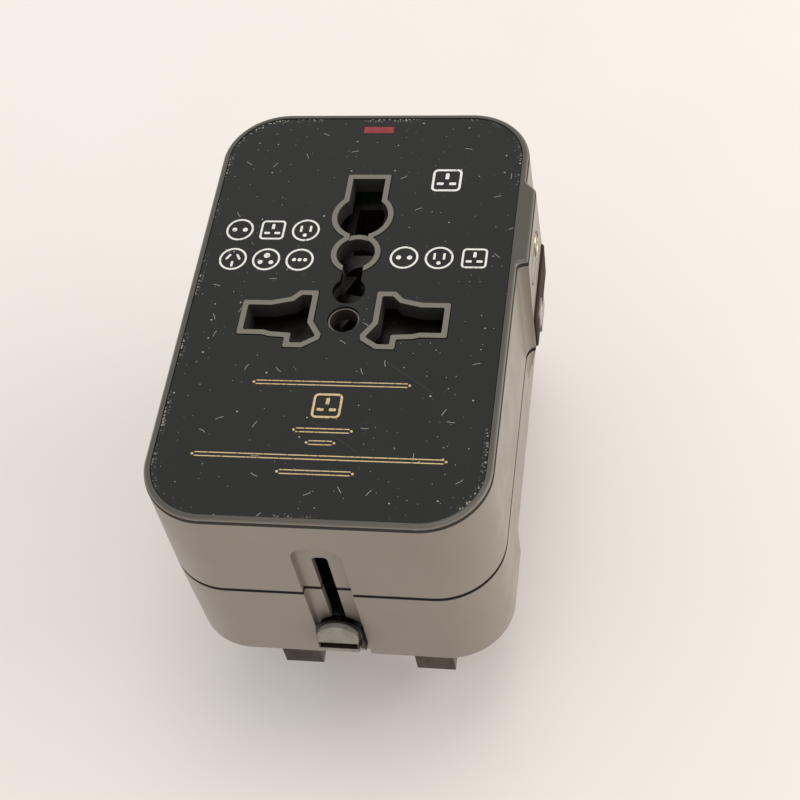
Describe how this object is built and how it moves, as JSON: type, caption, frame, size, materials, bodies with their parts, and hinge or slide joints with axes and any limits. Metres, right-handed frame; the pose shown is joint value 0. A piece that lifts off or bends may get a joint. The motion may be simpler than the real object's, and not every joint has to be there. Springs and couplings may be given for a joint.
{
  "type": "travel adapter",
  "caption": "Universal travel adapter: a socket face that takes several plug types, with British, European and American plugs that slide out of the back.",
  "frame": {"origin": "centre of the back face, the face that meets the wall socket", "axes": "+Z out of the socket face, +Y towards the end with the indicator lamp, +X to the right when the socket face is seen"},
  "size_m": [0.0539, 0.0811, 0.0609],
  "materials": {
    "case_plastic": "fine matte, warm grey",
    "panel_gloss": "high gloss, near black",
    "red_lens": "clear red",
    "black_plastic": "satin black",
    "knob_plastic": "satin, brown black",
    "pale_plastic": "satin, light grey",
    "inner_plastic": "moulded, dark brown",
    "shutter_plastic": "gloss, dark grey",
    "contact_metal": "pressed strip",
    "pin_metal": "nickel plated",
    "steel": "zinc plated",
    "board": "green laminate",
    "absorber_coat": "dipped coat, blue",
    "component_body": "lacquer, beige",
    "ceramic": "glazed ceramic"
  },
  "bodies": {
    "case": {"front_shell": "case_plastic", "back_shell": "case_plastic", "face_panel": "panel_gloss", "lamp_lens": "red_lens", "lamp": "red_lens", "circuit_board": "board", "surge_absorber": "absorber_coat", "resistor": "component_body", "diode": "black_plastic", "contact_housing": "inner_plastic", "live_bus": "contact_metal", "live_contact": "contact_metal", "neutral_contact": "contact_metal", "earth_contact": "contact_metal", "shutter_springs": "steel", "case_screws": "steel"},
    "uk_plug": {"uk_carriage": "black_plastic", "uk_live_pin": "pin_metal", "uk_neutral_pin": "pin_metal", "uk_earth_pin": "pin_metal", "uk_pin_sleeves": "black_plastic", "uk_knob": "black_plastic", "uk_knob_pad": "pale_plastic"},
    "eu_plug": {"eu_carriage": "black_plastic", "eu_live_pin": "pin_metal", "eu_neutral_pin": "pin_metal", "eu_pin_sleeves": "black_plastic", "eu_knob": "knob_plastic", "eu_knob_pad": "pale_plastic"},
    "us_plug": {"us_carriage": "black_plastic", "us_knob": "knob_plastic", "us_knob_pad": "pale_plastic"},
    "live_blade": {"us_live_blade": "pin_metal"},
    "neutral_blade": {"us_neutral_blade": "pin_metal"},
    "shutter": {"shutter": "shutter_plastic"},
    "fuse_tray": {"fuse_drawer": "case_plastic", "fuse_tube": "ceramic", "fuse_caps": "pin_metal"}
  },
  "joints": [
    {"name": "uk_slide", "type": "slide", "parent": "case", "child": "uk_plug", "axis": [0, 0, 1], "range_m": [0, 0.0227]},
    {"name": "eu_slide", "type": "slide", "parent": "case", "child": "eu_plug", "axis": [0, 0, -1], "range_m": [0, 0.019]},
    {"name": "us_slide", "type": "slide", "parent": "case", "child": "us_plug", "axis": [0, 0, -1], "range_m": [0, 0.017]},
    {"name": "live_blade_twist", "type": "hinge", "parent": "us_plug", "child": "live_blade", "pos_m": [0.0066, 0.027, 0.019], "axis": [0, 0, 1], "range_deg": [-30, 0]},
    {"name": "neutral_blade_twist", "type": "hinge", "parent": "us_plug", "child": "neutral_blade", "pos_m": [-0.0066, 0.027, 0.019], "axis": [0, 0, 1], "range_deg": [0, 30]},
    {"name": "shutter_slide", "type": "slide", "parent": "case", "child": "shutter", "axis": [0, 1, 0], "range_m": [0, 0.0068], "stiffness_N_per_m": 60, "springref_m": -0.002, "deforming": ["shutter_springs"]},
    {"name": "fuse_drawer_slide", "type": "slide", "parent": "case", "child": "fuse_tray", "axis": [0, 0, -1], "range_m": [0, 0.008]}
  ]
}
